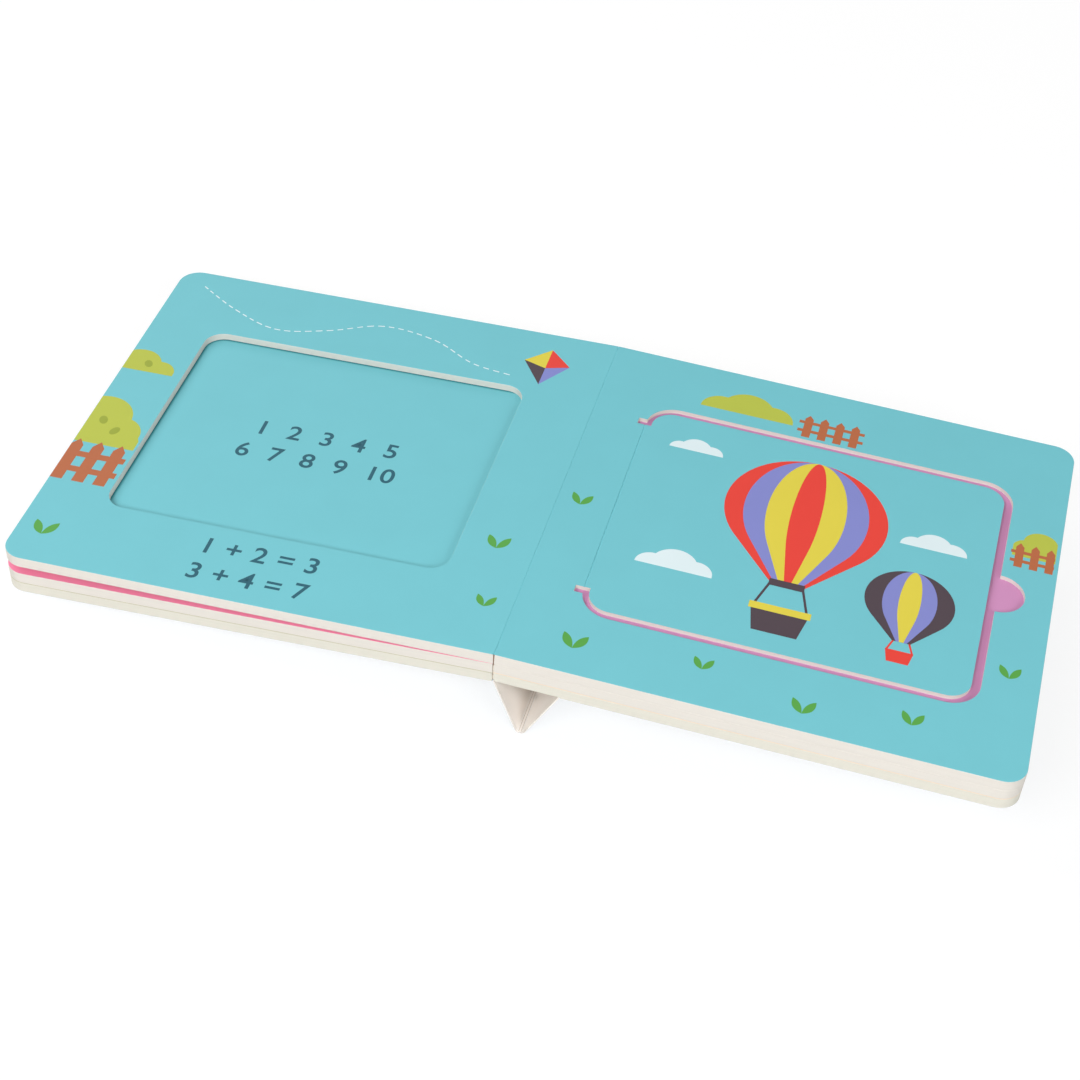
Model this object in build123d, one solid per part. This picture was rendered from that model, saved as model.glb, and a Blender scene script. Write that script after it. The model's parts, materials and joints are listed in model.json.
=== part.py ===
"""Open board book with a lift-up page flap, a window recess and an open-backed folding spine."""

import os
from math import asin, atan2, cos, degrees, hypot, radians, sin, sqrt, tan

from build123d import *

# Page block, in millimetres and degrees
page_width = 180.0
page_height = 180.0
corner_radius = 8.0
edge_round = 0.2
flap_board = 1.65
frame_board = 2.7
cover_board = 4.35
page_drop = 1.73
leaf_fan = 1.04
glue_width = 6.0
glue_inset = 1.0
glue_soak = 0.5
gutter_gap = 0.3
page_gap = 0.3

# Window recess in the left top leaf, as margins to the page's edges
window_gutter_margin = 27.6
window_fore_margin = 24.4
window_foot_margin = 35.4
window_head_margin = 36.4
window_corner = 7.5

# Flap in the right top leaf: its crease, its free edges and the channel that frees them
crease_margin = 20.7
flap_fore_margin = 22.9
flap_foot_margin = 33.0
flap_head_margin = 33.8
flap_corner = 8.2
channel = 3.3
hinge_channel = 2.3
relief_inset = 9.6
relief_reach = 3.0
crease_width = 0.6
crease_depth = 0.25
notch_radius = 9.7

# Cover card: the spine panel and the loose strip that hinges it to the back cover
card = 0.5
card_clearance = 0.15
hinge_from_gutter = 23.6
strip_overhang = 0.9
spine_rise = 0.65
fold_radius = 1.9
fold_turn = 64.0
fold_clearance = 0.4
corner_relief = 0.9

cut_overrun = 1.0

leaf = flap_board + frame_board
page_top = -page_gap / 2
second_top = page_top - leaf
cover_top = second_top - leaf
cover_bottom = cover_top - cover_board


def section(x, z):
    """A point of the cross-section, which is the same all along the gutter."""
    return Vector(x, 0, z)


def turned(point, angle):
    """The point after a turn about the gutter axis; a positive angle lowers the right side."""
    return point.rotate(Axis.Y, angle)


def slope_setback(bottom, fan_depth=0.0):
    """How far a leaf's spine edge stands back, so that the two drooping halves just clear each other."""
    return gutter_gap / 2 - bottom * tan(radians(page_drop)) + fan_depth * tan(radians(leaf_fan))


def board(top, thickness, setback):
    """A board of the right half, lying flat: square at the spine, rounded at the fore edge, soft rims."""
    width = page_width - setback
    outline = Pos(setback + width / 2, 0) * Rectangle(width, page_height)
    outline = fillet(outline.vertices().group_by(Axis.X)[-1], corner_radius)
    solid = Pos(0, 0, top - thickness) * extrude(outline, thickness)
    layers = solid.faces().filter_by(Axis.Z).sort_by(Axis.Z)
    return fillet(layers[0].edges() + layers[-1].edges(), edge_round)


def rounded_frame(left, right, foot, head, radius):
    """A rectangle with rounded corners, given by its four sides."""
    outline = RectangleRounded(right - left, head - foot, radius)
    return Pos((left + right) / 2, (foot + head) / 2) * outline


def prism(points, length):
    """A bar along the gutter with the given cross-section, centred on the page's height."""
    face = Plane.XZ * make_face(Polyline(*points, close=True))
    return Pos(0, length / 2, 0) * extrude(face, length)


def fanned(solid):
    """The lower left leaves, which sag away from the top leaf about its lower spine edge."""
    return Pos(0, 0, second_top) * Rot(0, -leaf_fan, 0) * Pos(0, 0, -second_top) * solid


# Right half: two page leaves, the top one with its flap cut free on three sides

half_height = page_height / 2
flap_left = crease_margin + hinge_channel
flap_right = page_width - flap_fore_margin
flap_foot = flap_foot_margin - half_height
flap_head = half_height - flap_head_margin
flap_middle = (flap_foot + flap_head) / 2

flap = rounded_frame(flap_left, flap_right, flap_foot, flap_head, flap_corner)
surround = rounded_frame(
    crease_margin,
    flap_right + channel,
    flap_foot - channel,
    flap_head + channel,
    flap_corner + channel,
)
crease_foot = flap_foot + relief_inset
crease_head = flap_head - relief_inset
crease_length = crease_head - crease_foot
hinge_side = Pos(flap_left - hinge_channel / 2, flap_middle) * Rectangle(hinge_channel, crease_length)
notch = Pos(flap_right + channel, flap_middle) * Circle(notch_radius)

relief_length = hinge_channel + relief_reach
relief_middle = flap_left - relief_length / 2
relief = Rectangle(relief_length, channel)
head_relief = Pos(relief_middle, crease_head + channel / 2) * relief
foot_relief = Pos(relief_middle, crease_foot - channel / 2) * relief

die_cut = (surround - hinge_side) + head_relief + foot_relief + notch - flap
channel_cut = Pos(0, 0, page_top - flap_board) * extrude(die_cut, flap_board + cut_overrun)

crease_profile = Polyline(
    (crease_margin - crease_width / 2, page_top),
    (crease_margin + crease_width / 2, page_top),
    (crease_margin, page_top - crease_depth),
    close=True,
)
crease_face = Plane.XZ * make_face(crease_profile)
crease = Pos(0, crease_head, 0) * extrude(crease_face, crease_length)

right_top_leaf = board(page_top, leaf, slope_setback(second_top)) - channel_cut - crease
right_second_leaf = board(second_top, leaf, slope_setback(cover_top))
right_pages = right_top_leaf + right_second_leaf

# Back cover: its card stops at the hinge line, and its spine corner is eased for the folding card

spine_edge = slope_setback(cover_bottom)
hinge_stop = hinge_from_gutter + card / 2 + card_clearance
strip_seat = cover_bottom + card + card_clearance
strip_relief = prism(
    [
        (spine_edge - cut_overrun, cover_bottom - cut_overrun),
        (hinge_stop, cover_bottom - cut_overrun),
        (hinge_stop, strip_seat),
        (spine_edge + corner_relief, strip_seat),
        (spine_edge, strip_seat + corner_relief),
        (spine_edge - cut_overrun, strip_seat + corner_relief),
    ],
    page_height + cut_overrun,
)
back_cover = board(cover_top, cover_board, spine_edge) - strip_relief

# Left half: the top leaf with its window recess, joined at the spine to the leaf that sags below it

window = rounded_frame(
    window_gutter_margin,
    page_width - window_fore_margin,
    window_foot_margin - half_height,
    half_height - window_head_margin,
    window_corner,
)
window_cut = Pos(0, 0, page_top - frame_board) * extrude(window, frame_board + cut_overrun)
left_top_leaf = board(page_top, leaf, slope_setback(second_top)) - window_cut
window_rim = left_top_leaf.faces().filter_by(Axis.Z).sort_by(Axis.Z)[-1].inner_wires()[0].edges()
left_top_leaf = mirror(fillet(window_rim, edge_round), Plane.YZ)

left_second_setback = slope_setback(cover_top, leaf)
left_second_leaf = mirror(board(second_top, leaf, left_second_setback), Plane.YZ)
glue_start = left_second_setback + glue_inset
glue_line = prism(
    [
        (-glue_start, second_top + glue_soak),
        (-glue_width, second_top + glue_soak),
        (-glue_width, second_top - glue_width * tan(radians(leaf_fan)) - glue_soak),
        (-glue_start, second_top - glue_start * tan(radians(leaf_fan)) - glue_soak),
    ],
    page_height - 2 * glue_inset,
)
left_pages = left_top_leaf + glue_line + fanned(left_second_leaf)

left_spine_edge = slope_setback(cover_bottom, leaf + cover_board)
front_cover = fanned(mirror(board(cover_top, cover_board, left_spine_edge), Plane.YZ))

# Folding spine: two limbs of card, sized so that they meet in the open V and in the closed book

curl_reach = fold_radius * sin(radians(fold_turn))
curl_rise = fold_radius * (1 - cos(radians(fold_turn)))
strip_straight = hinge_from_gutter + strip_overhang - curl_reach

spine_pivot_flat = section(0, cover_bottom + spine_rise)
strip_pivot_flat = section(hinge_from_gutter, cover_bottom + card / 2)
closed_spine_pivot = section(0, -spine_pivot_flat.Z)
closed_tip = strip_pivot_flat + section(-strip_straight - curl_reach, curl_rise)
spine_arm = (closed_tip - closed_spine_pivot).length
strip_arm = (closed_tip - strip_pivot_flat).length
spine_straight = sqrt(spine_arm**2 - curl_rise**2) - curl_reach

spine_pivot = turned(spine_pivot_flat, -page_drop)
strip_pivot = turned(strip_pivot_flat, page_drop)


def meeting_point(left, left_arm, right, right_arm):
    """The lower point that lies one arm from each of two pivots."""
    across = right - left
    along = (left_arm**2 - right_arm**2 + across.length**2) / (2 * across.length)
    down = sqrt(left_arm**2 - along**2)
    unit = across.normalized()
    return left + unit * along + section(unit.Z, -unit.X) * down


tip = meeting_point(spine_pivot, spine_arm, strip_pivot, strip_arm)


def limb_direction(pivot, straight, inward_turn):
    """The way a limb's straight part runs from its pivot, so that its curled end reaches the tip."""
    curl_angle = degrees(atan2(curl_rise, straight + curl_reach))
    return turned((tip - pivot).normalized(), inward_turn * curl_angle)


def limb(straight):
    """The cross-section of a limb: rounded at its pivot, straight, then curled to half of the fold."""
    outer = fold_radius + card / 2
    inner = fold_radius - card / 2
    curl = fold_turn - degrees(fold_clearance / 2 / fold_radius)
    centre = (straight, fold_radius)
    outside = Line((0, -card / 2), (straight, -card / 2))
    outside_curl = CenterArc(centre, outer, -90, curl)
    inside_curl = CenterArc(centre, inner, -90 + curl, -curl)
    end = Line(outside_curl @ 1, inside_curl @ 0)
    inside = Line((straight, card / 2), (0, card / 2))
    heel = CenterArc((0, 0), card / 2, 90, 180)
    return make_face([outside, outside_curl, end, inside_curl, inside, heel])


strip_direction = limb_direction(strip_pivot, strip_straight, -1)
strip_start = strip_pivot - Vector(0, half_height, 0)
strip_plane = Plane(origin=strip_start, x_dir=strip_direction, z_dir=(0, 1, 0))
hinge_strip = extrude(strip_plane * limb(strip_straight), page_height)

spine_direction = limb_direction(spine_pivot, spine_straight, 1)
spine_start = spine_pivot + Vector(0, half_height, 0)
spine_plane = Plane(origin=spine_start, x_dir=spine_direction, z_dir=(0, -1, 0))
spine_panel = extrude(spine_plane * limb(spine_straight), page_height)

# Rest: the book leans on its spine fold and on the lower outer edge of the front cover

outer_edge = section(-page_width + edge_round, cover_bottom + edge_round)
fan_pivot = section(0, second_top)
outer_edge = turned(turned(outer_edge - fan_pivot, -leaf_fan) + fan_pivot, -page_drop)
fold_inward = section(strip_direction.Z, -strip_direction.X)
fold_centre = strip_pivot + strip_direction * strip_straight + fold_inward * fold_radius
span = fold_centre - outer_edge
fold_outside = fold_radius + card / 2
lean = degrees(atan2(span.Z, span.X) - asin((fold_outside - edge_round) / hypot(span.X, span.Z)))

left_rest = Rot(0, lean - page_drop, 0)
right_rest = Rot(0, lean + page_drop, 0)
spine_rest = Rot(0, lean, 0)
nodes = {
    "back_cover": right_rest * back_cover,
    "right_pages": right_rest * right_pages,
    "front_cover": left_rest * front_cover,
    "left_pages": left_rest * left_pages,
    "spine_panel": spine_rest * spine_panel,
    "hinge_strip": spine_rest * hinge_strip,
}

box = Compound(children=[node.moved(Location()) for node in nodes.values()]).bounding_box()
stand = Pos(-box.center().X, -box.center().Y, -box.min.Z)

os.makedirs("parts", exist_ok=True)
for name, node in nodes.items():
    export_step(stand * node, f"parts/{name}.step")
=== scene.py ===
"""Open childrens board book: printed pages, cut board edges, a die-cut flap and a folded card spine."""

import json
import math

import bpy
from mathutils import Matrix, Vector


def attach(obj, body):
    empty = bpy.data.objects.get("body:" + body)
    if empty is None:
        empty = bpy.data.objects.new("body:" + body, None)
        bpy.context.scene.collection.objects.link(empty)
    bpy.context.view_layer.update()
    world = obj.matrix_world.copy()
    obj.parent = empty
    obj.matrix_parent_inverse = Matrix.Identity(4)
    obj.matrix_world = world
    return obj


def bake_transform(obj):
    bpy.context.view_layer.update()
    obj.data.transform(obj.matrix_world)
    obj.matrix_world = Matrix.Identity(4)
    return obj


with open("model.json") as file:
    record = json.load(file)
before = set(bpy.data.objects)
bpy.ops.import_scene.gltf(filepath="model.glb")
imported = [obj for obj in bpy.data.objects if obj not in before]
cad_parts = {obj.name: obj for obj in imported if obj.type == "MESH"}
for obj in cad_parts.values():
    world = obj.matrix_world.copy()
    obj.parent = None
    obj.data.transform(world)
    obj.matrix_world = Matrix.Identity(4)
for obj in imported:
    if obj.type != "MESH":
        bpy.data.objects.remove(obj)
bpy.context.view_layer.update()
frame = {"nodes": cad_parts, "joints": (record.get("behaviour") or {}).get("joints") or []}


# The back cover is the thick board under the right-hand pages, laminated pale board wrapped in a printed,
# satin-coated sheet. Its CAD solid is kept. The material tells print from cut edge by the plane of the page:
# how deep below it a point lies, and which way its face looks.

MM = 0.001
gutter = Vector(next(j["pos_m"] for j in frame["joints"] if j["name"] == "cover_fold"))
right_turn = math.radians(-2.22132)
left_turn = math.radians(-5.68132)
page_gap = 0.3


def srgb(red, green, blue):
    """A colour as it is seen on paper, 0 to 255, in the linear values that shaders use."""
    shares = [level / 255 for level in (red, green, blue)]
    return (*[s / 12.92 if s <= 0.04045 else ((s + 0.055) / 1.055) ** 2.4 for s in shares], 1.0)


def add(tree, kind, inputs=None, **settings):
    """Adds a shader node, with its settings, and fills or links its inputs."""
    made = tree.nodes.new(kind)
    for key, value in settings.items():
        setattr(made, key, value)
    for key, value in (inputs or {}).items():
        if isinstance(value, bpy.types.NodeSocket):
            tree.links.new(value, made.inputs[key])
        else:
            made.inputs[key].default_value = value
    return made


def math_node(tree, operation, first, second=0.0, third=0.0):
    """A Math node's result."""
    return add(tree, "ShaderNodeMath", {0: first, 1: second, 2: third}, operation=operation).outputs[0]


def mix_colour(tree, share, first, second, blend="MIX"):
    """A mix of two colours."""
    mixer = add(tree, "ShaderNodeMix", {0: share, 6: first, 7: second}, data_type="RGBA", blend_type=blend)
    return mixer.outputs[2]


def new_group(name, inputs, outputs):
    """A shader node group with its named sockets, and its two end nodes."""
    group = bpy.data.node_groups.new(name, "ShaderNodeTree")
    for label, kind in inputs:
        group.interface.new_socket(label, in_out="INPUT", socket_type=f"NodeSocket{kind}")
    for label, kind in outputs:
        group.interface.new_socket(label, in_out="OUTPUT", socket_type=f"NodeSocket{kind}")
    return group, group.nodes.new("NodeGroupInput"), group.nodes.new("NodeGroupOutput")


def place_group(tree, group, inputs):
    """A node group placed in a material."""
    return add(tree, "ShaderNodeGroup", inputs, node_tree=group).outputs


board_place, ends, results = new_group(
    "board_place",
    [("Normal", "Vector"), ("Anchor", "Vector")],
    [("Depth", "Float"), ("Facing", "Float")],
)
where = add(board_place, "ShaderNodeTexCoord")
offset = add(
    board_place,
    "ShaderNodeVectorMath",
    {0: where.outputs["Object"], 1: ends.outputs["Anchor"]},
    operation="SUBTRACT",
)
depth = add(
    board_place,
    "ShaderNodeVectorMath",
    {0: offset.outputs[0], 1: ends.outputs["Normal"]},
    operation="DOT_PRODUCT",
)
facing = add(
    board_place,
    "ShaderNodeVectorMath",
    {0: where.outputs["Normal"], 1: ends.outputs["Normal"]},
    operation="DOT_PRODUCT",
)
in_mm = math_node(board_place, "MULTIPLY", depth.outputs["Value"], 1 / MM)
board_place.links.new(in_mm, results.inputs["Depth"])
board_place.links.new(facing.outputs["Value"], results.inputs["Facing"])

layer_run = 40.0
layer_pitch = 2.6
speck_relief = 0.5
cut_edge, ends, results = new_group(
    "cut_edge",
    [("Depth", "Float"), ("Board", "Color"), ("Fibre", "Color")],
    [("Color", "Color"), ("Height", "Float")],
)
where = add(cut_edge, "ShaderNodeTexCoord")
parts = add(cut_edge, "ShaderNodeSeparateXYZ", {0: where.outputs["Object"]})
layered = add(
    cut_edge,
    "ShaderNodeCombineXYZ",
    {
        0: math_node(cut_edge, "MULTIPLY", parts.outputs["X"], layer_run),
        1: math_node(cut_edge, "MULTIPLY", parts.outputs["Y"], layer_run),
        2: math_node(cut_edge, "MULTIPLY", ends.outputs["Depth"], layer_pitch),
    },
)
layers = add(
    cut_edge,
    "ShaderNodeTexNoise",
    {"Vector": layered.outputs[0], "Scale": 1.0, "Detail": 3.0, "Roughness": 0.6},
)
specks = add(
    cut_edge,
    "ShaderNodeTexNoise",
    {"Vector": where.outputs["Object"], "Scale": 1400.0, "Detail": 2.0, "Roughness": 0.6},
)
layer_share = add(cut_edge, "ShaderNodeMapRange", {0: layers.outputs[0], 1: 0.35, 2: 0.75})
edge_colour = mix_colour(cut_edge, layer_share.outputs[0], ends.outputs["Board"], ends.outputs["Fibre"])
speck_share = add(cut_edge, "ShaderNodeMapRange", {0: specks.outputs[0], 1: 0.55, 2: 0.8, 3: 0.0, 4: 0.5})
edge_colour = mix_colour(cut_edge, speck_share.outputs[0], edge_colour, ends.outputs["Fibre"])
edge_height = math_node(cut_edge, "MULTIPLY_ADD", specks.outputs[0], speck_relief, layers.outputs[0])
cut_edge.links.new(edge_colour, results.inputs["Color"])
cut_edge.links.new(edge_height, results.inputs["Height"])

satin_print, ends, results = new_group(
    "satin_print",
    [("Color", "Color")],
    [("Color", "Color"), ("Roughness", "Float"), ("Height", "Float")],
)
where = add(satin_print, "ShaderNodeTexCoord")
mottle = add(
    satin_print,
    "ShaderNodeTexNoise",
    {"Vector": where.outputs["Object"], "Scale": 45.0, "Detail": 4.0, "Roughness": 0.55},
)
tooth = add(
    satin_print,
    "ShaderNodeTexNoise",
    {"Vector": where.outputs["Object"], "Scale": 900.0, "Detail": 3.0, "Roughness": 0.6},
)
brighter = add(satin_print, "ShaderNodeMapRange", {0: mottle.outputs[0], 1: 0.3, 2: 0.7, 3: 0.985, 4: 1.01})
printed = add(
    satin_print,
    "ShaderNodeVectorMath",
    {0: ends.outputs["Color"], "Scale": brighter.outputs[0]},
    operation="SCALE",
)
gloss = add(satin_print, "ShaderNodeMapRange", {0: tooth.outputs[0], 1: 0.3, 2: 0.7, 3: 0.48, 4: 0.58})
satin_print.links.new(printed.outputs[0], results.inputs["Color"])
satin_print.links.new(gloss.outputs[0], results.inputs["Roughness"])
satin_print.links.new(tooth.outputs[0], results.inputs["Height"])

board_colour = srgb(219, 216, 204)
fibre_share = 0.96
page_turquoise = srgb(119, 198, 208)
cover_blue = srgb(176, 208, 226)
seam_shade = srgb(190, 186, 158)
rim_white = srgb(232, 234, 240)
satin_sheen = 0.12
edge_roughness = 0.85
edge_relief = 0.2
film_relief = 0.25
relief_depth = 0.05 * MM
face_limit = 0.7
spine_limit = 0.5
floor_margin = 0.5


def new_material(name):
    """A material with an empty node tree, and that tree."""
    material = bpy.data.materials.new(name)
    material.use_nodes = True
    material.node_tree.nodes.clear()
    return material, material.node_tree


def surface(tree, colour, roughness, height=None, relief=edge_relief):
    """Ends a material in a shader with a faint sheen, and with a relief where a height is given."""
    inputs = {"Base Color": colour, "Roughness": roughness, "Specular IOR Level": satin_sheen}
    if height is not None:
        bump_inputs = {"Height": height, "Strength": relief, "Distance": relief_depth}
        inputs["Normal"] = add(tree, "ShaderNodeBump", bump_inputs).outputs[0]
    shader = add(tree, "ShaderNodeBsdfPrincipled", inputs)
    add(tree, "ShaderNodeOutputMaterial", {"Surface": shader.outputs[0]})


def page_plane(turn):
    """The outward direction of a page that is turned about the gutter."""
    return Vector((math.sin(turn), 0.0, math.cos(turn)))


def page_run(turn):
    """The direction across a turned page, from left to right."""
    return Vector((math.cos(turn), 0.0, -math.sin(turn)))


def banded(tree, depth, zones):
    """A colour by depth: each zone is the lowest depth it reaches, and its colour."""
    colour = zones[-1][1]
    for bottom, zone_colour in reversed(zones[:-1]):
        colour = mix_colour(tree, math_node(tree, "GREATER_THAN", depth, bottom), colour, zone_colour)
    return colour


def fibres_of(board):
    """The slightly darker tone of the fibres in a board's cut edge."""
    return (*[fibre_share * level for level in board[:3]], 1.0)


def paint_shadow_along_walls(tree, turn, depth, colour, floor_depth, middle, half, corner, width, shade):
    """Paints a shadow on a recess's floor: painted shade, darkest at the sides of a rectangle with rounded
    corners and fading inward. The rectangle is given in page millimetres from the gutter and from the page's
    middle height."""
    where = add(tree, "ShaderNodeTexCoord")
    from_gutter = add(
        tree, "ShaderNodeVectorMath", {0: where.outputs["Object"], 1: gutter}, operation="SUBTRACT"
    )
    run = add(
        tree, "ShaderNodeVectorMath", {0: from_gutter.outputs[0], 1: page_run(turn)}, operation="DOT_PRODUCT"
    )
    height = add(tree, "ShaderNodeSeparateXYZ", {0: from_gutter.outputs[0]})
    outside = []
    for distance, centre, reach in zip((run.outputs["Value"], height.outputs["Y"]), middle, half):
        in_mm = math_node(tree, "MULTIPLY", distance, 1 / MM)
        off_centre = math_node(tree, "ABSOLUTE", math_node(tree, "SUBTRACT", in_mm, centre))
        outside.append(math_node(tree, "SUBTRACT", off_centre, reach - corner))
    past = [math_node(tree, "MAXIMUM", value, 0.0) for value in outside]
    squared = math_node(tree, "MULTIPLY", past[0], past[0])
    squared = math_node(tree, "MULTIPLY_ADD", past[1], past[1], squared)
    round_corner = math_node(tree, "SQRT", squared)
    within = math_node(tree, "MINIMUM", math_node(tree, "MAXIMUM", outside[0], outside[1]), 0.0)
    to_wall = math_node(tree, "SUBTRACT", corner, math_node(tree, "ADD", round_corner, within))
    near = add(
        tree,
        "ShaderNodeMapRange",
        {0: to_wall, 1: 0.0, 2: width, 3: 1.0, 4: 0.0},
        interpolation_type="SMOOTHSTEP",
    )
    on_floor = math_node(tree, "COMPARE", depth, -page_gap / 2 - floor_depth, floor_margin)
    return mix_colour(tree, math_node(tree, "MULTIPLY", near.outputs[0], on_floor), colour, shade)


def board_material(
    name,
    turn,
    upper_zones,
    lower_zones,
    anchor=gutter,
    seams=(),
    wrap_top=None,
    board=board_colour,
    recess=None,
):
    """Board with printed faces, in zones of depth for faces that look up and for those that look down.
    A seam is a band of the cut edge, from one depth to another, with a colour of its own; one of them is
    painted shade in a joint. Where the cover's sheet turns up over the edge at the spine, it reaches to the
    wrap's top. A recess has a painted shadow on its floor, along two of its walls."""
    material, tree = new_material(name)
    place = place_group(tree, board_place, {"Normal": page_plane(turn), "Anchor": anchor})
    edge = place_group(
        tree, cut_edge, {"Depth": place["Depth"], "Board": board, "Fibre": fibres_of(board)}
    )
    looks_up = math_node(tree, "GREATER_THAN", place["Facing"], face_limit)
    looks_down = math_node(tree, "LESS_THAN", place["Facing"], -face_limit)
    upper = banded(tree, place["Depth"], upper_zones)
    # Painted shade: a shadow laid over the print on a recess's floor, along its walls.
    if recess is not None:
        upper = paint_shadow_along_walls(tree, turn, place["Depth"], upper, **recess)
    lower = banded(tree, place["Depth"], lower_zones)
    colour = mix_colour(tree, looks_down, upper, lower)
    coated = math_node(tree, "MAXIMUM", looks_up, looks_down)
    film = place_group(tree, satin_print, {"Color": colour})
    cut = edge["Color"]
    for top, bottom, seam_colour in seams:
        middle, half = (top + bottom) / 2, (top - bottom) / 2
        cut = mix_colour(tree, math_node(tree, "COMPARE", place["Depth"], middle, half), cut, seam_colour)
    if wrap_top is not None:
        across = place_group(tree, board_place, {"Normal": page_run(turn), "Anchor": anchor})
        to_spine = math_node(tree, "GREATER_THAN", across["Facing"], spine_limit)
        wrapped = math_node(tree, "LESS_THAN", place["Depth"], wrap_top)
        cut = mix_colour(tree, math_node(tree, "MULTIPLY", to_spine, wrapped), cut, cover_blue)
    seen = mix_colour(tree, coated, cut, film["Color"])
    rough = add(tree, "ShaderNodeMix", {0: coated, 2: edge_roughness, 3: film["Roughness"]})
    smooth = math_node(tree, "MULTIPLY", film["Height"], film_relief)
    height = add(tree, "ShaderNodeMix", {0: coated, 2: edge["Height"], 3: smooth})
    surface(tree, seen, rough.outputs[0], height.outputs[0])
    return material


def dress(node, material):
    """Gives a CAD node its material."""
    mesh = frame["nodes"][node].data
    mesh.materials.clear()
    mesh.materials.append(material)


leaf_depth = 4.35
cover_sheet = 0.3
cover_bottom = -page_gap / 2 - 3 * leaf_depth
wrapped_rim = [(cover_bottom + cover_sheet, cover_bottom - cover_sheet, rim_white)]
cover_outside = [(cover_bottom + cover_sheet, board_colour), (0, cover_blue)]
dress(
    "back_cover",
    board_material("back_cover_board", right_turn, [(0, board_colour)], cover_outside, seams=wrapped_rim),
)


# The right-hand pages are two leaves of double board. The top leaf is die-cut: a channel frees the flap on
# three sides, and its floor shows the lilac print of the board below. The cut walls show the white board.

channel_lilac = srgb(208, 146, 190)
page_white = srgb(221, 216, 208)
flap_board = 1.65
right_zones = [
    (-page_gap / 2 - 0.5 * flap_board, page_turquoise),
    (-page_gap / 2 - 1.5 * flap_board, channel_lilac),
    (0, page_white),
]
glued_colour = srgb(229, 210, 188)
glued_height = 0.5
glued_bottom = -page_gap / 2 - 2 * leaf_depth
glued_seam = [(glued_bottom + glued_height, glued_bottom, glued_colour)]
right_board = board_material(
    "right_page_board", right_turn, right_zones, [(0, board_colour)], seams=glued_seam, board=page_white
)
dress("right_pages", right_board)


# The front cover is the same board under the left-hand pages, and leans on its outer edge. Its CAD solid is
# kept, and the sheet that wraps it turns up over the edge at the spine.

fan_turn = left_turn - math.radians(1.04)
fan_anchor = gutter - page_plane(left_turn) * (page_gap / 2 + leaf_depth) * MM
seam_width = 0.18
# Painted shade: the first seam darkens the joint under the second leaf, and the cover's faces that look up
# take the same shade.
left_seams = [
    (-leaf_depth + seam_width, -leaf_depth - seam_width, seam_shade),
    (-2 * leaf_depth + cover_sheet, -2 * leaf_depth - cover_sheet, rim_white),
]
wrap_height = 0.9
front_board = board_material(
    "front_cover_board",
    fan_turn,
    [(0, seam_shade)],
    [(0, cover_blue)],
    fan_anchor,
    left_seams,
    wrap_height - 2 * leaf_depth,
)
dress("front_cover", front_board)


# The left-hand pages are two leaves of board as well. The top one has a window with a printed floor, and it
# stands off the leaf below, so pink print shows in the wedge between. A shadow is painted on that floor along
# the outer and head walls: painted shade where those walls cut off the light from behind at the left. Its
# rectangle is wider on the other two sides, so no painted shadow runs there.

next_pink = srgb(238, 143, 174)
left_zones = [(-page_gap / 2 - 0.8 * leaf_depth, page_turquoise), (0, next_pink)]
wedge_zones = [(-page_gap / 2 - 1.2 * leaf_depth, next_pink), (0, board_colour)]
window_depth = 2.7
window_outer, window_inner = -155.6, -27.6
window_foot, window_head = -54.6, 53.6
plain_sides = 4.0
shadow_inner = window_inner + plain_sides
shadow_foot = window_foot - plain_sides
# Painted shadow on the window's floor: darkest at the outer and head walls, fading over its width.
window_painted_shadow = {
    "floor_depth": window_depth,
    "middle": ((window_outer + shadow_inner) / 2, (shadow_foot + window_head) / 2),
    "half": ((shadow_inner - window_outer) / 2, (window_head - shadow_foot) / 2),
    "corner": 7.5,
    "width": 1.5,
    "shade": srgb(20, 118, 128),
}
left_board = board_material(
    "left_page_board", left_turn, left_zones, wedge_zones, board=page_white, recess=window_painted_shadow
)
dress("left_pages", left_board)


# The spine is a strip of the cover's own card, creased and pushed out as a V under the gutter: the spine
# panel on the left, and on the right the loose strip that hinges it to the back cover. Its inside is bare,
# its outside has the covers' print, and a narrow lining with two score lines joins both at the tip. The score
# lines are painted darker: painted shade of their pressed grooves.

card_white = srgb(254, 248, 242)
card_shade = srgb(250, 242, 234)
# Painted shade: the cut ends' colour is darkened to tone down the light that falls on them.
card_end_painted_shade = srgb(229, 222, 215)
score_shade = srgb(206, 190, 176)
score_width = 0.16
card_roughness = 0.8
outside_limit = -0.6


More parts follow.
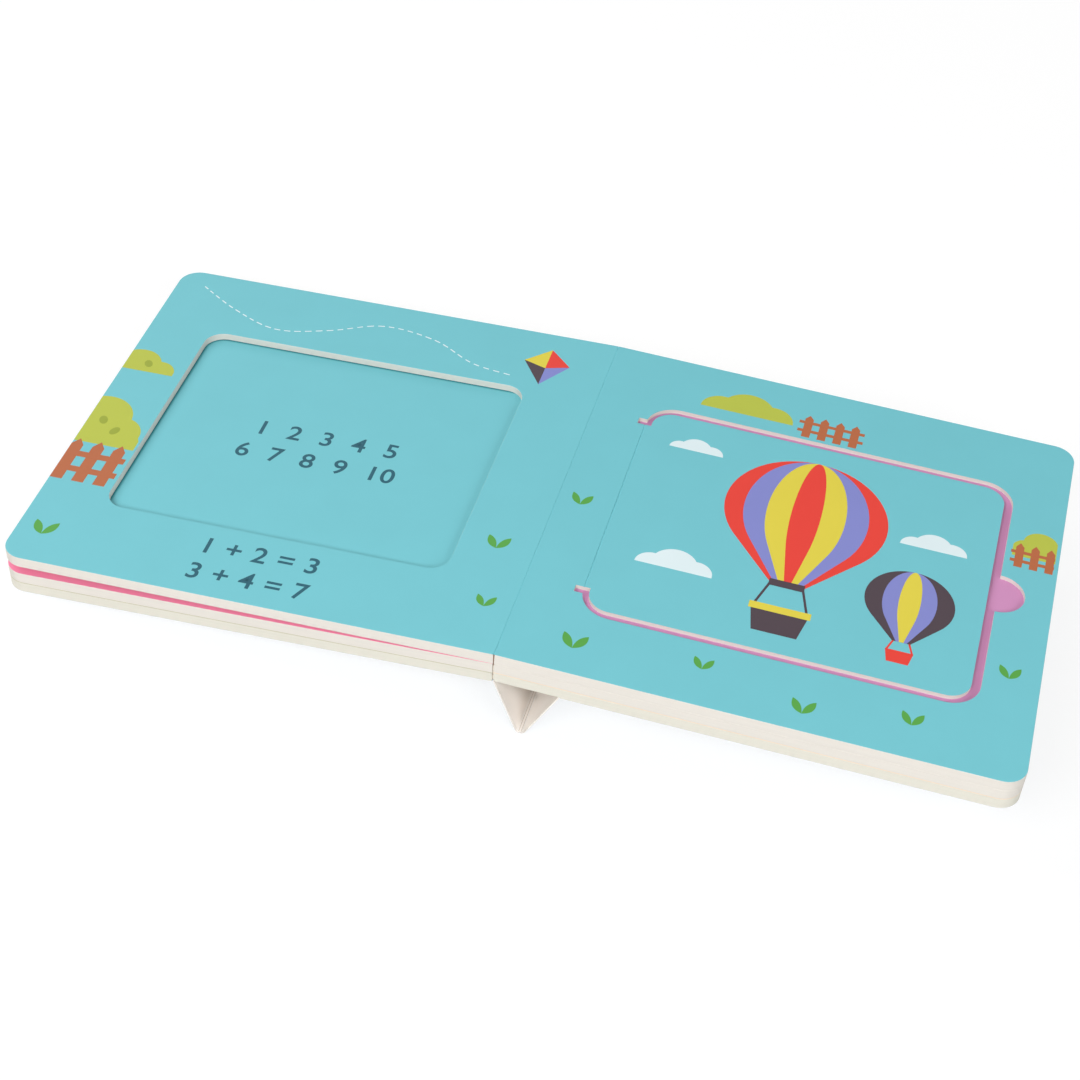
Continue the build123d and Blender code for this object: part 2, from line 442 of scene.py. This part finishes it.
def card_material(name, outward, scores=()):
    """Thin card: bare and faintly fibrous on its inside and cut ends, printed where it faces outward. The cut
    ends are painted a shade darker, painted shade that tones down the light falling on them. A score is a
    line pressed along the card, at a place across it, painted darker as the shade in its groove."""
    material, tree = new_material(name)
    where = add(tree, "ShaderNodeTexCoord")
    fibre_way = add(
        tree, "ShaderNodeMapping", {"Vector": where.outputs["Object"], "Scale": (500.0, 60.0, 500.0)}
    )
    grain = add(tree, "ShaderNodeTexNoise", {"Vector": fibre_way.outputs[0], "Scale": 1.0, "Detail": 4.0})
    cloud = add(tree, "ShaderNodeTexNoise", {"Vector": where.outputs["Object"], "Scale": 30.0, "Detail": 3.0})
    card_share = add(tree, "ShaderNodeMapRange", {0: cloud.outputs[0], 1: 0.35, 2: 0.7})
    card_tone = mix_colour(tree, card_share.outputs[0], card_white, card_shade)
    grain_share = add(tree, "ShaderNodeMapRange", {0: grain.outputs[0], 1: 0.55, 2: 0.8, 3: 0.0, 4: 0.4})
    card_tone = mix_colour(tree, grain_share.outputs[0], card_tone, card_shade)
    spot = add(tree, "ShaderNodeSeparateXYZ", {0: where.outputs["Object"]})
    # Painted shade: each score line is darkened as the shade in its groove.
    for place in scores:
        on_score = math_node(tree, "COMPARE", spot.outputs["X"], place * MM, score_width / 2 * MM)
        card_tone = mix_colour(tree, on_score, card_tone, score_shade)
    facing = add(
        tree, "ShaderNodeVectorMath", {0: where.outputs["Normal"], 1: outward}, operation="DOT_PRODUCT"
    )
    looks_out = math_node(tree, "GREATER_THAN", facing.outputs["Value"], outside_limit)
    way = add(tree, "ShaderNodeSeparateXYZ", {0: where.outputs["Normal"]})
    along = math_node(tree, "LESS_THAN", math_node(tree, "ABSOLUTE", way.outputs["Y"]), face_limit)
    # Painted shade: the cut ends, which face along the strip, are toned darker against the light they catch.
    card_tone = mix_colour(tree, along, card_end_painted_shade, card_tone)
    outside = math_node(tree, "MULTIPLY", looks_out, along)
    film = place_group(tree, satin_print, {"Color": cover_blue})
    smooth = math_node(tree, "MULTIPLY", film["Height"], film_relief)
    height = add(tree, "ShaderNodeMix", {0: outside, 2: grain.outputs[0], 3: smooth})
    rough = add(tree, "ShaderNodeMix", {0: outside, 2: card_roughness, 3: film["Roughness"]})
    seen = mix_colour(tree, outside, card_tone, film["Color"])
    surface(tree, seen, rough.outputs[0], height.outputs[0])
    return material


dress("spine_panel", card_material("spine_panel_card", (-0.51, 0.0, -0.86)))
dress("hinge_strip", card_material("hinge_strip_card", (0.52, 0.0, -0.85)))

fold_centre = Vector((12.324, 0.0, 2.15)) * MM
fold_lining = {"inside": 1.58, "outside": 1.64, "half_angle": 26.0}
fold_bridge = {"outside": 2.14, "half_angle": 5.8}
fold_length = 179.4
score_offset = 0.42
fold_steps = 12


def fold_arc(radius, from_angle, to_angle):
    """Points of the fold's cross-section on one radius, with angles from straight down."""
    for step in range(fold_steps + 1):
        angle = math.radians(from_angle + (to_angle - from_angle) * step / fold_steps)
        yield Vector((math.sin(angle), 0.0, -math.cos(angle))) * radius


wide, narrow = fold_lining["half_angle"], fold_bridge["half_angle"]
fold_section = [
    *fold_arc(fold_lining["inside"], -wide, wide),
    *fold_arc(fold_lining["outside"], wide, narrow),
    *fold_arc(fold_bridge["outside"], narrow, -narrow),
    *fold_arc(fold_lining["outside"], -narrow, -wide),
]


def strip_along_gutter(name, section, length):
    """A closed strip along the gutter from the points of its cross-section, which are in metres."""
    bpy.ops.object.select_all(action="DESELECT")
    bpy.ops.mesh.primitive_circle_add(vertices=len(section), fill_type="NGON")
    strip = bpy.context.object
    strip.name = name
    for point, place in zip(strip.data.vertices, section):
        point.co = place - Vector((0.0, length / 2 * MM, 0.0))
    bpy.ops.object.mode_set(mode="EDIT")
    bpy.ops.mesh.select_all(action="SELECT")
    bpy.ops.mesh.extrude_region_move(TRANSFORM_OT_translate={"value": (0.0, length * MM, 0.0)})
    bpy.ops.mesh.select_all(action="SELECT")
    bpy.ops.mesh.normals_make_consistent(inside=False)
    bpy.ops.object.mode_set(mode="OBJECT")
    return strip


crease_section = [fold_centre + place * MM for place in fold_section]
spine_crease = strip_along_gutter("spine_crease", crease_section, fold_length)
fold_scores = [fold_centre.x / MM + offset for offset in (-score_offset, score_offset)]
spine_crease.data.materials.append(card_material("spine_crease_card", (0.0, 0.0, -1.0), fold_scores))
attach(spine_crease, "hinge_strip")


# The boards of the two halves nearly meet under the gutter, and a film of brown binding glue stands between
# them on the right-hand boards' spine edges. It is thick under the printed sheet and broken further down.

lean = (right_turn + left_turn) / 2
board_slope = math.tan((right_turn - left_turn) / 2)
glue_left = -0.12
glue_right = 0.16
glue_top = 0.5
glue_foot = 12.2
glue_length = 179.5
glue_brown = srgb(150, 112, 88)
glue_pale = srgb(226, 216, 200)
glue_roughness = 0.6
glue_section = [(glue_left, -glue_foot), (glue_left, -glue_top)]
for leaf in range(3):
    leaf_top = page_gap / 2 + leaf * leaf_depth
    leaf_bottom = leaf_top + leaf_depth
    for depth in (max(leaf_top, glue_top), min(leaf_bottom, glue_foot)):
        glue_section.append((glue_right + (leaf_bottom - depth) * board_slope, -depth))
gutter_glue = strip_along_gutter(
    "gutter_glue",
    [gutter + (page_run(lean) * x + page_plane(lean) * z) * MM for x, z in glue_section],
    glue_length,
)
glue, tree = new_material("binding_glue")
place = place_group(tree, board_place, {"Normal": page_plane(lean), "Anchor": gutter})
where = add(tree, "ShaderNodeTexCoord")
blots = add(tree, "ShaderNodeTexNoise", {"Vector": where.outputs["Object"], "Scale": 700.0, "Detail": 2.0})
thick = add(tree, "ShaderNodeMapRange", {0: place["Depth"], 1: -5.4, 2: -3.6, 3: -0.12, 4: 0.35})
amount = math_node(tree, "ADD", blots.outputs[0], thick.outputs[0])
brown_share = add(tree, "ShaderNodeMapRange", {0: amount, 1: 0.42, 2: 0.62})
surface(tree, mix_colour(tree, brown_share.outputs[0], glue_pale, glue_brown), glue_roughness)
gutter_glue.data.materials.append(glue)
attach(gutter_glue, "back_half")


# The spread's printed sheet runs across the gutter in one piece and is creased there. It lies on both pages.

page_height = 180.0
crease_reach = 1.6
crease_dip = 0.16
crease_half = 0.1 * crease_reach
sheet_thickness = 0.06
sheet_lift = 0.01
sheet_length = page_height - 0.4
sheet_relief = 0.05


def coated_print(name, colour):
    """A material of satin-coated print in one colour."""
    material, tree = new_material(name)
    film = place_group(tree, satin_print, {"Color": colour})
    surface(tree, film["Color"], film["Roughness"], film["Height"], sheet_relief)
    return material


bpy.ops.object.select_all(action="DESELECT")
bpy.ops.mesh.primitive_grid_add(x_subdivisions=14, y_subdivisions=24, size=1.0)
gutter_sheet = bpy.context.object
gutter_sheet.name = "gutter_sheet"
for point in gutter_sheet.data.vertices:
    across = 2 * crease_reach * point.co.x
    turn = right_turn if across > 0 else left_turn
    side = page_run(turn) * across
    dip = crease_dip if abs(across) < crease_half else 0.0
    rise = page_plane(turn) * (sheet_lift - page_gap / 2 - dip)
    point.co = gutter + (side + rise + Vector((0.0, point.co.y * sheet_length, 0.0))) * MM
solid = gutter_sheet.modifiers.new("paper", "SOLIDIFY")
solid.thickness = sheet_thickness * MM
solid.offset = -1.0
bpy.ops.object.modifier_apply(modifier="paper")
gutter_sheet.data.materials.append(coated_print("printed_sheet", page_turquoise))
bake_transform(gutter_sheet)


# The pictures are flat fields of ink on that sheet. Each is cut as a thin film from its outline, in page
# millimetres from the gutter and the foot, and laid on the page. A later layer covers an earlier one.

ink_thickness = 0.06
ink_step = 0.015
digit_height = 8.0
digit_share = 0.72
digit_spacing = 1.05
digit_weight = 0.14
inks = {
    label: coated_print(f"{label}_ink", colour)
    for label, colour in {
        "red": srgb(232, 72, 62),
        "charcoal": srgb(80, 68, 75),
        "lavender": srgb(135, 140, 205),
        "yellow": srgb(226, 210, 78),
        "olive": srgb(186, 195, 79),
        "moss": srgb(156, 168, 62),
        "brown": srgb(184, 107, 71),
        "green": srgb(91, 163, 74),
        "white": srgb(226, 241, 244),
        "teal": srgb(45, 95, 110),
    }.items()
}
pages = {"back_half": right_turn, "front_half": left_turn}


def lay_ink(body, ink, layer, sunk=0.0):
    """Turns the outline just drawn into a closed film of ink on a page, or on a floor sunk below it."""
    top = ink_step * (layer + 1) - page_gap / 2 - sunk
    lift = Matrix.Translation((0.0, -page_height / 2, top - ink_thickness / 2))
    page = Matrix.Translation(gutter) @ Matrix.Rotation(pages[body], 4, "Y") @ Matrix.Scale(MM, 4)
    bpy.ops.object.convert(target="MESH")
    shape = bpy.context.object
    shape.matrix_world = page @ lift @ shape.matrix_world
    bpy.ops.object.transform_apply(location=True, rotation=True, scale=True)
    bpy.ops.object.mode_set(mode="EDIT")
    bpy.ops.mesh.select_all(action="SELECT")
    bpy.ops.mesh.remove_doubles(threshold=0.001 * MM)
    bpy.ops.mesh.normals_make_consistent(inside=False)
    bpy.ops.object.mode_set(mode="OBJECT")
    shape.data.materials.clear()
    shape.data.materials.append(inks[ink])
    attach(shape, body)


def print_shapes(name, body, ink, outlines, layer=0):
    """Prints closed outlines of one colour."""
    bpy.ops.object.select_all(action="DESELECT")
    bpy.ops.curve.primitive_bezier_circle_add()
    shape = bpy.context.object
    shape.name = name
    shape.data.splines.clear()
    shape.data.dimensions = "2D"
    shape.data.fill_mode = "BOTH"
    shape.data.extrude = ink_thickness / 2
    for outline in outlines:
        line = shape.data.splines.new("POLY")
        line.points.add(len(outline) - 1)
        for point, (x, y) in zip(line.points, outline):
            point.co = (x, y, 0.0, 1.0)
        line.use_cyclic_u = True
    lay_ink(body, ink, layer)


def print_numbers(name, body, ink, words, x, y, sunk=0.0):
    """Prints a centred line of numbers, with its foot at a height on the page."""
    bpy.ops.object.select_all(action="DESELECT")
    bpy.ops.object.text_add(location=(x, y, 0.0))
    shape = bpy.context.object
    shape.name = name
    shape.data.body = words
    shape.data.size = digit_height / digit_share
    shape.data.align_x = "CENTER"
    shape.data.space_character = digit_spacing
    shape.data.offset = digit_weight
    shape.data.extrude = ink_thickness / 2
    lay_ink(body, ink, 0, sunk)


def disc(x, y, wide, high, turn, points=72):
    """An ellipse, turned about its middle."""
    ring = []
    for step in range(points):
        angle = 2 * math.pi * step / points
        along, up = wide * math.cos(angle), high * math.sin(angle)
        turned_x = along * math.cos(turn) - up * math.sin(turn)
        turned_y = along * math.sin(turn) + up * math.cos(turn)
        ring.append((x + turned_x, y + turned_y))
    return ring


def puffs(foot, rounds, left, right, points=160):
    """A cloud or bush: a flat foot, and the highest of a row of round tops."""
    skyline = []
    for step in range(points + 1):
        x = left + (right - left) * step / points
        tops = [y + math.sqrt(r * r - (x - cx) ** 2) for cx, y, r in rounds if abs(x - cx) < r]
        skyline.append((x, max(tops + [foot + 0.01])))
    return [(left, foot)] + skyline + [(right, foot)]


def envelope(x, y, radius, squeeze, points=80):
    """A balloon's bag, round above and drawn in to its neck; squeezed sideways it is one of its gores."""
    turns = [math.radians(-130 + 260 * step / points) for step in range(points + 1)]
    bag = [(x + squeeze * radius * math.sin(a), y + radius * math.cos(a)) for a in turns]
    neck = y - 1.317 * radius
    neck_half = 0.2 * squeeze * radius
    return bag + [(x + neck_half, neck), (x - neck_half, neck)]


def box(left, right, foot, head):
    """A rectangle."""
    return [(left, foot), (right, foot), (right, head), (left, head)]


def bar(start, end, width):
    """A straight stroke."""
    run = Vector(end) - Vector(start)
    side = Vector((-run.y, run.x)).normalized() * width / 2
    return [tuple(Vector(p) + s) for p, s in ((start, -side), (end, -side), (end, side), (start, side))]


def pickets(places, width, foot, shoulder, tip):
    """Fence posts with pointed tops, given by their left sides."""
    return [
        [(x, foot), (x + width, foot), (x + width, shoulder), (x + width / 2, tip), (x, shoulder)]
        for x in places
    ]


def rails(left, right, width, feet):
    """The level bars of a fence."""
    return [box(left, right, foot, foot + width) for foot in feet]


def shoots(places):
    """Young plants: at each place, two leaves that spread from one foot."""
    leaves = []
    for x, y, size in places:
        for way in (-1, 1):
            tip = Vector((way * 0.62, 1.0)) * size
            out = Vector((way * 0.75, 0.2)) * size
            inner = Vector((way * 0.05, 0.8)) * size
            edge = [out * 2 * t * (1 - t) + tip * t * t for t in (i / 12 for i in range(13))]
            back = [inner * 2 * t * (1 - t) + tip * t * t for t in (1 - i / 12 for i in range(1, 12))]
            leaves.append([(x + p.x, y + p.y) for p in edge + back])
    return leaves


def dashes(route, length=2.2, gap=1.5, width=0.5, steps=40):
    """A dashed line along a smooth route."""
    path = [Vector(p) for p in route]
    fine = []
    for i in range(len(path) - 1):
        before, after = path[max(i - 1, 0)], path[min(i + 2, len(path) - 1)]
        a, b = path[i], path[i + 1]
        slope = b - before
        bend = 2 * before - 5 * a + 4 * b - after
        twist = 3 * a - before - 3 * b + after
        for step in range(steps):
            t = step / steps
            fine.append(0.5 * (2 * a + slope * t + bend * t * t + twist * t * t * t))
    strokes, walked, start = [], 0.0, fine[0]
    for a, b in zip(fine, fine[1:]):
        walked += (b - a).length
        if start is not None and walked >= length:
            strokes.append(bar(start, b, width))
            start, walked = None, 0.0
        elif start is None and walked >= gap:
            start, walked = b, 0.0
    return strokes


# On the flap, two hot-air balloons float between clouds. Each is a few fields of ink laid over one another:
# the bag in its outermost colour, narrower gores on it, and the basket with its ropes.

print_shapes("flap_clouds", "back_half", "white", [
    puffs(62.0, [(40.0, 62.0, 6.0), (48.0, 64.0, 8.5), (56.0, 62.5, 6.0)], 34.0, 62.0),
    puffs(104.0, [(128.0, 104.0, 5.0), (135.0, 105.5, 7.0), (142.0, 104.0, 5.5)], 123.0, 147.5),
    puffs(128.0, [(36.0, 128.0, 4.0), (42.0, 129.0, 6.0), (48.0, 128.0, 4.5)], 32.0, 52.5),
])
for layer, (name, ink, squeeze) in enumerate((
    ("balloon_red_gores", "red", 1.0),
    ("balloon_lavender_gores", "lavender", 0.76),
    ("balloon_yellow_gores", "yellow", 0.48),
    ("balloon_middle_gore", "red", 0.18),
), 1):
    print_shapes(name, "back_half", ink, [envelope(88.0, 107.0, 30.0, squeeze)], layer)
print_shapes("balloon_basket", "back_half", "charcoal", [
    [(80.0, 42.0), (96.0, 42.0), (98.5, 55.0), (77.5, 55.0)],
    bar((82.2, 67.6), (78.6, 55.0), 0.9),
    bar((93.8, 67.6), (97.4, 55.0), 0.9),
], 1)
print_shapes("balloon_skirt", "back_half", "charcoal", [box(81.6, 94.4, 66.0, 69.4)], 5)
print_shapes("basket_rim", "back_half", "yellow", [box(77.0, 99.0, 52.6, 56.0)], 2)
for layer, (name, ink, squeeze) in enumerate((
    ("small_balloon_bag", "charcoal", 1.0),
    ("small_balloon_gores", "lavender", 0.6),
    ("small_balloon_middle", "yellow", 0.24),
), 1):
    print_shapes(name, "back_half", ink, [envelope(131.0, 74.0, 16.0, squeeze)], layer)
print_shapes("small_balloon_basket", "back_half", "red", [
    [(127.2, 42.5), (134.8, 42.5), (136.0, 48.5), (126.0, 48.5)],
    bar((128.2, 53.2), (126.6, 48.5), 0.7),
    bar((133.8, 53.2), (135.4, 48.5), 0.7),
], 1)


# Around the flap there are bushes, two picket fences and young shoots, in flat ink like the balloons. Those
# at the fore edge stop just short of it, so that no film of ink stands out past the board.

print_shapes("right_page_bushes", "back_half", "olive", [
    puffs(112.0, [(168.0, 116.0, 5.6), (172.6, 120.5, 6.4), (175.4, 115.0, 3.4)], 162.8, 178.6),
    puffs(156.0, [(46.0, 156.0, 8.0), (56.0, 158.0, 10.5), (66.0, 156.0, 8.0)], 38.0, 74.0),
])
head_pickets = pickets((78.0, 84.0, 90.0, 96.0), 3.2, 151.0, 162.0, 164.2)
edge_pickets = pickets((164.0, 169.6, 175.2), 3.0, 106.0, 117.0, 119.2)
head_rails = rails(76.0, 101.2, 1.6, (154.0, 159.0))
edge_rails = rails(162.4, 178.4, 1.6, (108.6, 113.4))
print_shapes("right_page_fence", "back_half", "brown", head_pickets, 1)
print_shapes("right_page_rails", "back_half", "brown", head_rails, 2)
print_shapes("right_page_posts", "back_half", "brown", edge_pickets, 1)
print_shapes("right_page_edge_rails", "back_half", "brown", edge_rails, 2)
print_shapes("right_page_shoots", "back_half", "green", shoots((
    (24.0, 12.0, 7.0),
    (68.0, 17.0, 5.5),
    (104.0, 8.0, 6.5),
    (140.0, 15.0, 6.0),
    (169.0, 48.0, 6.0),
    (8.5, 84.0, 6.0),
)))


# On the left-hand page a kite flies over the window on its dashed line, and a fence and bushes run off the
# outer edge. Two sums stand below the window, and plain numbers lie on the window's floor.

left_edge = -179.85
kite_head, kite_middle, kite_foot = (-24.0, 170.0), (-24.0, 158.0), (-24.0, 147.5)
kite_left, kite_right = (-33.0, 161.0), (-15.0, 161.0)
print_shapes("kite_red_panel", "front_half", "red", [[kite_head, kite_right, kite_middle]])
print_shapes("kite_yellow_panel", "front_half", "yellow", [[kite_head, kite_middle, kite_left]])
print_shapes("kite_lavender_panel", "front_half", "lavender", [[kite_middle, kite_right, kite_foot]])
print_shapes("kite_charcoal_panel", "front_half", "charcoal", [[kite_middle, kite_foot, kite_left]])
print_shapes("kite_line", "front_half", "white", dashes([
    (-36.0, 150.0),
    (-52.0, 153.0),
    (-70.0, 163.0),
    (-92.0, 166.0),
    (-112.0, 157.0),
    (-132.0, 152.0),
    (-152.0, 160.0),
    (-170.0, 172.0),
]))
print_shapes("left_page_bushes", "front_half", "olive", [
    puffs(66.0, [(-176.0, 82.0, 12.0), (-167.0, 74.0, 9.5), (-161.0, 70.0, 4.6)], left_edge, -156.6),
    puffs(112.0, [(-175.0, 116.0, 9.0), (-166.0, 113.0, 6.5)], left_edge, -159.6),
])
print_shapes("left_page_bush_leaves", "front_half", "moss", [
    disc(-174.0, 80.0, 1.6, 2.4, 0.4),
    disc(-167.5, 75.0, 1.6, 2.4, -0.4),
    disc(-171.0, 117.0, 1.5, 2.2, 0.5),
], 1)
outer_pickets = pickets((left_edge, -171.6, -163.4), 4.6, 44.0, 64.0, 67.4)
outer_rails = rails(left_edge, -157.0, 3.0, (49.0, 57.5))
print_shapes("left_page_fence", "front_half", "brown", outer_pickets, 1)
print_shapes("left_page_rails", "front_half", "brown", outer_rails, 2)
print_shapes("left_page_shoots", "front_half", "green", shoots((
    (-14.0, 52.0, 6.5),
    (-10.0, 22.0, 5.5),
    (-170.0, 14.0, 7.0),
)))
for name, words, x, y, sunk in (
    ("foot_numbers_first", "1 + 2 = 3", -92.0, 21.0, 0.0),
    ("foot_numbers_second", "3 + 4 = 7", -92.0, 7.5, 0.0),
    ("window_numbers_first", "1  2  3  4  5", -91.6, 92.0, window_depth),
    ("window_numbers_second", "6  7  8  9  10", -91.6, 78.0, window_depth),
):
    print_numbers(name, "front_half", "teal", words, x, y, sunk)


# Studio: a pale floor that keeps the shadow, five soft lamps and the camera. Two lamps stand behind, one at
# the left, and two in front, where they reach under the pages and into the spine. The world shows plain white
# to the camera, and lights the book only faintly.

floor_grey = (0.85, 0.85, 0.85, 1.0)
floor_shade = (0.22, 0.22, 0.22, 1.0)
floor_lift = 0.82
white = (1.0, 1.0, 1.0, 1.0)
ambient_strength = 0.07


def seen_directly(tree, rays):
    """A mask of the rays that the camera sends, also by a reflection or through glass."""
    mask = rays["Is Camera Ray"]
    for kind in ("Is Glossy Ray", "Is Transmission Ray"):
        mask = math_node(tree, "MAXIMUM", mask, rays[kind])
    return mask


bpy.ops.object.select_all(action="DESELECT")
bpy.ops.mesh.primitive_grid_add(x_subdivisions=8, y_subdivisions=8, size=8.0)
floor = bpy.context.object
floor.name = "studio_floor"
paint, tree = new_material("studio_floor")
rays = add(tree, "ShaderNodeLightPath").outputs
matte = add(tree, "ShaderNodeBsdfDiffuse", {"Color": floor_grey})
shaded = add(tree, "ShaderNodeBsdfDiffuse", {"Color": floor_shade})
lift = add(tree, "ShaderNodeEmission", {"Color": white, "Strength": floor_lift})
both = add(tree, "ShaderNodeAddShader", {0: shaded.outputs[0], 1: lift.outputs[0]})
seen_by = seen_directly(tree, rays)
shown = add(tree, "ShaderNodeMixShader", {0: seen_by, 1: matte.outputs[0], 2: both.outputs[0]})
side = add(tree, "ShaderNodeNewGeometry")
from_below = math_node(tree, "MULTIPLY", rays["Is Camera Ray"], side.outputs["Backfacing"])
clear = add(tree, "ShaderNodeBsdfTransparent")
shown = add(tree, "ShaderNodeMixShader", {0: from_below, 1: shown.outputs[0], 2: clear.outputs[0]})
add(tree, "ShaderNodeOutputMaterial", {"Surface": shown.outputs[0]})
floor.data.materials.append(paint)

for label, spot, size, watts in (
    ("left_back_light", (-1.9, 2.4, 1.7), 2.0, 36.0),
    ("right_back_light", (1.6, 1.6, 0.6), 0.8, 10.0),
    ("left_light", (-2.2, 0.2, 1.6), 1.4, 20.0),
    ("left_front_light", (-0.5, -1.41, 1.16), 0.8, 21.0),
    ("right_front_light", (1.05, -1.17, 1.08), 0.8, 16.0),
):
    bpy.ops.object.light_add(type="AREA", location=spot)
    lamp = bpy.context.object
    lamp.name = label
    lamp.data.size = size
    lamp.data.energy = watts
    lamp.rotation_euler = (-Vector(spot)).to_track_quat("-Z", "Y").to_euler()

world = bpy.data.worlds.new("studio")
world.use_nodes = True
tree = world.node_tree
tree.nodes.clear()
seen_by = seen_directly(tree, add(tree, "ShaderNodeLightPath").outputs)
ambient = add(tree, "ShaderNodeBackground", {"Color": white, "Strength": ambient_strength})
backdrop = add(tree, "ShaderNodeBackground", {"Color": white, "Strength": 1.0})
shown = add(tree, "ShaderNodeMixShader", {0: seen_by, 1: ambient.outputs[0], 2: backdrop.outputs[0]})
add(tree, "ShaderNodeOutputWorld", {"Surface": shown.outputs[0]})
bpy.context.scene.world = world

bpy.ops.object.camera_add(
    location=(0.09194, -0.63403, 0.59534),
    rotation=[math.radians(angle) for angle in (47.0793, -6.8316, 15.0271)],
)
camera = bpy.context.object
camera.data.sensor_width = 36.0
camera.data.lens = 78.12
bpy.context.scene.camera = camera
bpy.context.scene.view_settings.view_transform = "Standard"
